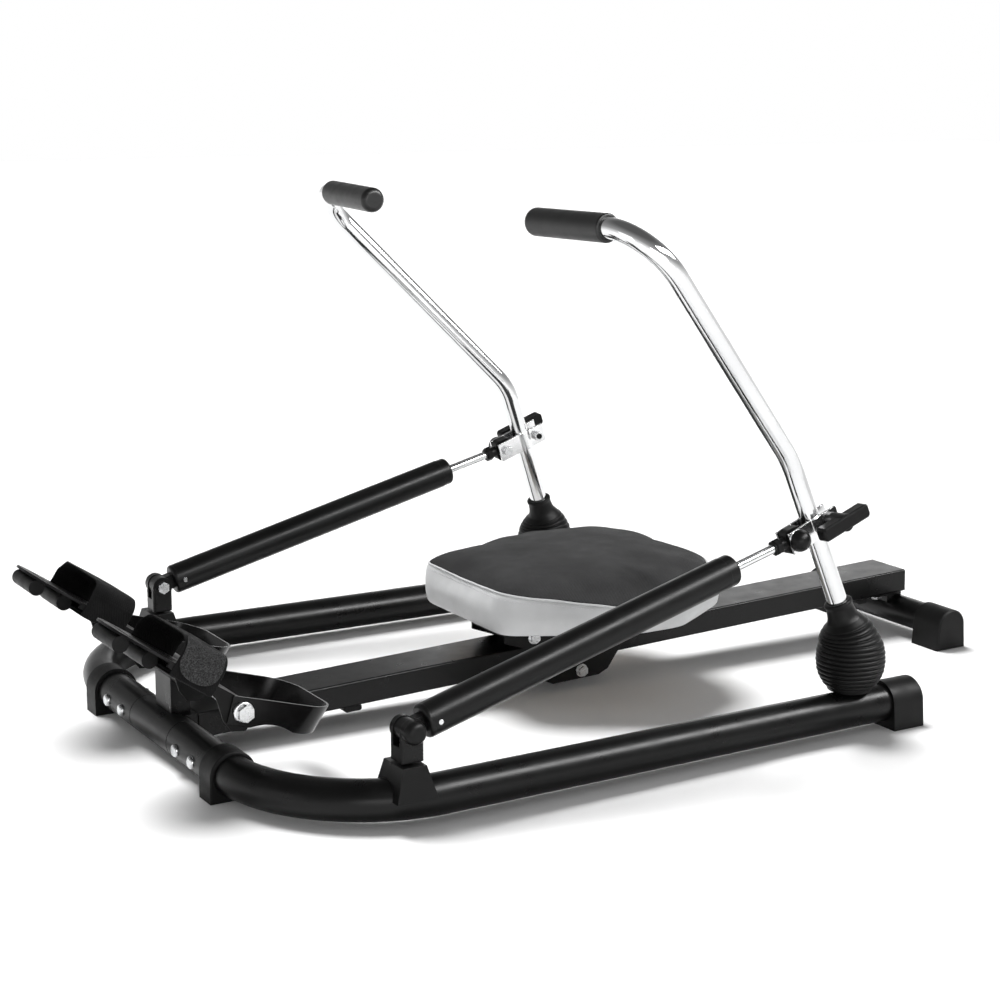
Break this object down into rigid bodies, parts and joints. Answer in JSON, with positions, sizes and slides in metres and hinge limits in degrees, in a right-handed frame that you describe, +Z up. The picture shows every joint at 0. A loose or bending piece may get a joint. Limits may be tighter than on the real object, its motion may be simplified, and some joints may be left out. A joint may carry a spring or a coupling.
{
  "type": "rowing machine",
  "caption": "Hydraulic rowing machine: sliding seat on a sloping rail, two bent chrome arms worked against oil cylinders, and tilting foot plates with straps and heel bands.",
  "frame": {"origin": "middle of the overall length, on the floor, in the plane of symmetry", "axes": "+X towards the rear of the rail, away from the feet; +Y to the rower's right; +Z up"},
  "size_m": [1.3155, 0.8506, 0.6712],
  "materials": {
    "frame_paint": "satin black powder coat",
    "fork_paint": "satin black",
    "cylinder_paint": "satin black",
    "band_steel": "semi-gloss black",
    "bolt_steel": "bright zinc",
    "clamp_steel": "bright zinc plate",
    "chrome": "polished chrome plate",
    "foot_plastic": "moulded matt black",
    "pedal_plastic": "moulded matt black",
    "hard_plastic": "moulded black",
    "webbing": "black hook and loop strap",
    "rubber": "matt black",
    "boot_rubber": "ribbed matt black",
    "foam": "smooth closed-cell foam",
    "seat_vinyl": "black textured vinyl top, white vinyl side",
    "plywood": "plywood",
    "nylon": "white nylon"
  },
  "bodies": {
    "frame": {"front_tube": "frame_paint", "side_tube_right": "frame_paint", "side_tube_left": "frame_paint", "frame_fasteners": "bolt_steel", "front_feet": "foot_plastic", "side_tube_caps": "foot_plastic", "rail": "frame_paint", "rail_end_plug": "foot_plastic", "rail_front_bracket": "frame_paint", "rear_bracket": "frame_paint", "rear_cross_tube": "frame_paint", "rear_foot_caps": "foot_plastic", "rail_bumpers": "rubber", "footrest_post": "frame_paint", "pedal_bolts": "bolt_steel", "cylinder_bases": "frame_paint", "arm_posts": "frame_paint", "boot_right": "boot_rubber", "boot_left": "boot_rubber"},
    "seat": {"seat_cushion": "seat_vinyl", "seat_board": "plywood", "carriage": "frame_paint", "carriage_axles": "bolt_steel"},
    "roller_front": {"roller_front": "nylon"},
    "roller_rear": {"roller_rear": "nylon"},
    "roller_lower": {"roller_lower": "nylon"},
    "foot_right": {"foot_plate_right": "pedal_plastic", "heel_band_right": "band_steel", "foot_strap_right": "webbing"},
    "fork_right": {"swivel_fork_right": "fork_paint", "fork_bolt_right": "bolt_steel"},
    "cylinder_right": {"cylinder_tube_right": "cylinder_paint", "cylinder_end_right": "cylinder_paint", "cylinder_pin_right": "bolt_steel", "gland_cap_right": "cylinder_paint"},
    "rod_right": {"piston_rod_right": "chrome", "rod_end_right": "hard_plastic"},
    "yoke_right": {"universal_cross_right": "bolt_steel"},
    "arm_right": {"arm_tube_right": "chrome", "grip_right": "foam", "clamp_plates_right": "clamp_steel", "clamp_bolts_right": "bolt_steel"},
    "knob_right": {"clamp_knob_right": "hard_plastic"},
    "foot_left": {"foot_plate_left": "pedal_plastic", "heel_band_left": "band_steel", "foot_strap_left": "webbing"},
    "fork_left": {"swivel_fork_left": "fork_paint", "fork_bolt_left": "bolt_steel"},
    "cylinder_left": {"cylinder_tube_left": "cylinder_paint", "cylinder_end_left": "cylinder_paint", "cylinder_pin_left": "bolt_steel", "gland_cap_left": "cylinder_paint"},
    "rod_left": {"piston_rod_left": "chrome", "rod_end_left": "hard_plastic"},
    "yoke_left": {"universal_cross_left": "bolt_steel"},
    "arm_left": {"arm_tube_left": "chrome", "grip_left": "foam", "clamp_plates_left": "clamp_steel", "clamp_bolts_left": "bolt_steel"},
    "knob_left": {"clamp_knob_left": "hard_plastic"}
  },
  "joints": [
    {"name": "seat_slide", "type": "slide", "parent": "frame", "child": "seat", "axis": [0.9994, 0, 0.0349], "range_m": [-0.25, 0.47]},
    {"name": "roller_front_spin", "type": "hinge", "parent": "seat", "child": "roller_front", "pos_m": [-0.02033, 0, 0.08413], "axis": [0, 1, 0], "range_deg": [-2200, 2200]},
    {"name": "roller_rear_spin", "type": "hinge", "parent": "seat", "child": "roller_rear", "pos_m": [0.12958, 0, 0.08937], "axis": [0, 1, 0], "range_deg": [-2200, 2200]},
    {"name": "roller_lower_spin", "type": "hinge", "parent": "seat", "child": "roller_lower", "pos_m": [0.05672, 0, 0.02669], "axis": [0, 1, 0], "range_deg": [-2200, 2200]},
    {"name": "foot_tilt_right", "type": "hinge", "parent": "frame", "child": "foot_right", "pos_m": [-0.51755, 0.1445, 0.109], "axis": [0, 1, 0], "range_deg": [-20, 25]},
    {"name": "arm_swing_right", "type": "hinge", "parent": "frame", "child": "yoke_right", "pos_m": [0.25305, 0.362, 0.128], "axis": [0.0351, 0.9994, 0], "range_deg": [-8, 30], "deforming": ["boot_right"]},
    {"name": "arm_splay_right", "type": "hinge", "parent": "yoke_right", "child": "arm_right", "pos_m": [0.25305, 0.362, 0.128], "axis": [-0.9363, 0.0329, -0.3496], "range_deg": [-2.5, 5]},
    {"name": "fork_swivel_right", "type": "hinge", "parent": "frame", "child": "fork_right", "pos_m": [-0.38754, 0.369, 0.111], "axis": [0, 0, 1], "range_deg": [-1.2, 1.6]},
    {"name": "cylinder_tilt_right", "type": "hinge", "parent": "fork_right", "child": "cylinder_right", "pos_m": [-0.38754, 0.369, 0.111], "axis": [0.0351, 0.9994, 0], "range_deg": [-1.2, 0.5]},
    {"name": "rod_slide_right", "type": "slide", "parent": "cylinder_right", "child": "rod_right", "axis": [0.9654, -0.0339, 0.2586], "range_m": [-0.0225, 0.081]},
    {"name": "knob_turn_right", "type": "hinge", "parent": "arm_right", "child": "knob_right", "pos_m": [0.21808, 0.34775, 0.27868], "axis": [-0.0002, 0.9956, 0.0941], "range_deg": [-180, 180]},
    {"name": "foot_tilt_left", "type": "hinge", "parent": "frame", "child": "foot_left", "pos_m": [-0.51755, -0.1445, 0.109], "axis": [0, 1, 0], "range_deg": [-20, 25]},
    {"name": "arm_swing_left", "type": "hinge", "parent": "frame", "child": "yoke_left", "pos_m": [0.25305, -0.362, 0.128], "axis": [-0.0351, 0.9994, 0], "range_deg": [-8, 30], "deforming": ["boot_left"]},
    {"name": "arm_splay_left", "type": "hinge", "parent": "yoke_left", "child": "arm_left", "pos_m": [0.25305, -0.362, 0.128], "axis": [0.9363, 0.0329, 0.3496], "range_deg": [-2.5, 5]},
    {"name": "fork_swivel_left", "type": "hinge", "parent": "frame", "child": "fork_left", "pos_m": [-0.38754, -0.369, 0.111], "axis": [0, 0, -1], "range_deg": [-1.2, 1.6]},
    {"name": "cylinder_tilt_left", "type": "hinge", "parent": "fork_left", "child": "cylinder_left", "pos_m": [-0.38754, -0.369, 0.111], "axis": [-0.0351, 0.9994, 0], "range_deg": [-1.2, 0.5]},
    {"name": "rod_slide_left", "type": "slide", "parent": "cylinder_left", "child": "rod_left", "axis": [0.9654, 0.0339, 0.2586], "range_m": [-0.0225, 0.081]},
    {"name": "knob_turn_left", "type": "hinge", "parent": "arm_left", "child": "knob_left", "pos_m": [0.21808, -0.34775, 0.27868], "axis": [-0.0002, -0.9956, 0.0941], "range_deg": [-180, 180]}
  ],
  "couplings": [
    {"joint": "roller_front_spin", "follows": "seat_slide", "rad_per_m": 78.125},
    {"joint": "roller_rear_spin", "follows": "seat_slide", "rad_per_m": 78.125},
    {"joint": "roller_lower_spin", "follows": "seat_slide", "rad_per_m": -74.074},
    {"joint": "fork_swivel_right", "follows": "arm_splay_right", "ratio": 0.26},
    {"joint": "cylinder_tilt_right", "follows": "arm_swing_right", "ratio": -0.0308},
    {"joint": "rod_slide_right", "follows": "arm_swing_right", "m_per_rad": 0.1532},
    {"joint": "fork_swivel_left", "follows": "arm_splay_left", "ratio": 0.26},
    {"joint": "cylinder_tilt_left", "follows": "arm_swing_left", "ratio": -0.0308},
    {"joint": "rod_slide_left", "follows": "arm_swing_left", "m_per_rad": 0.1532}
  ]
}
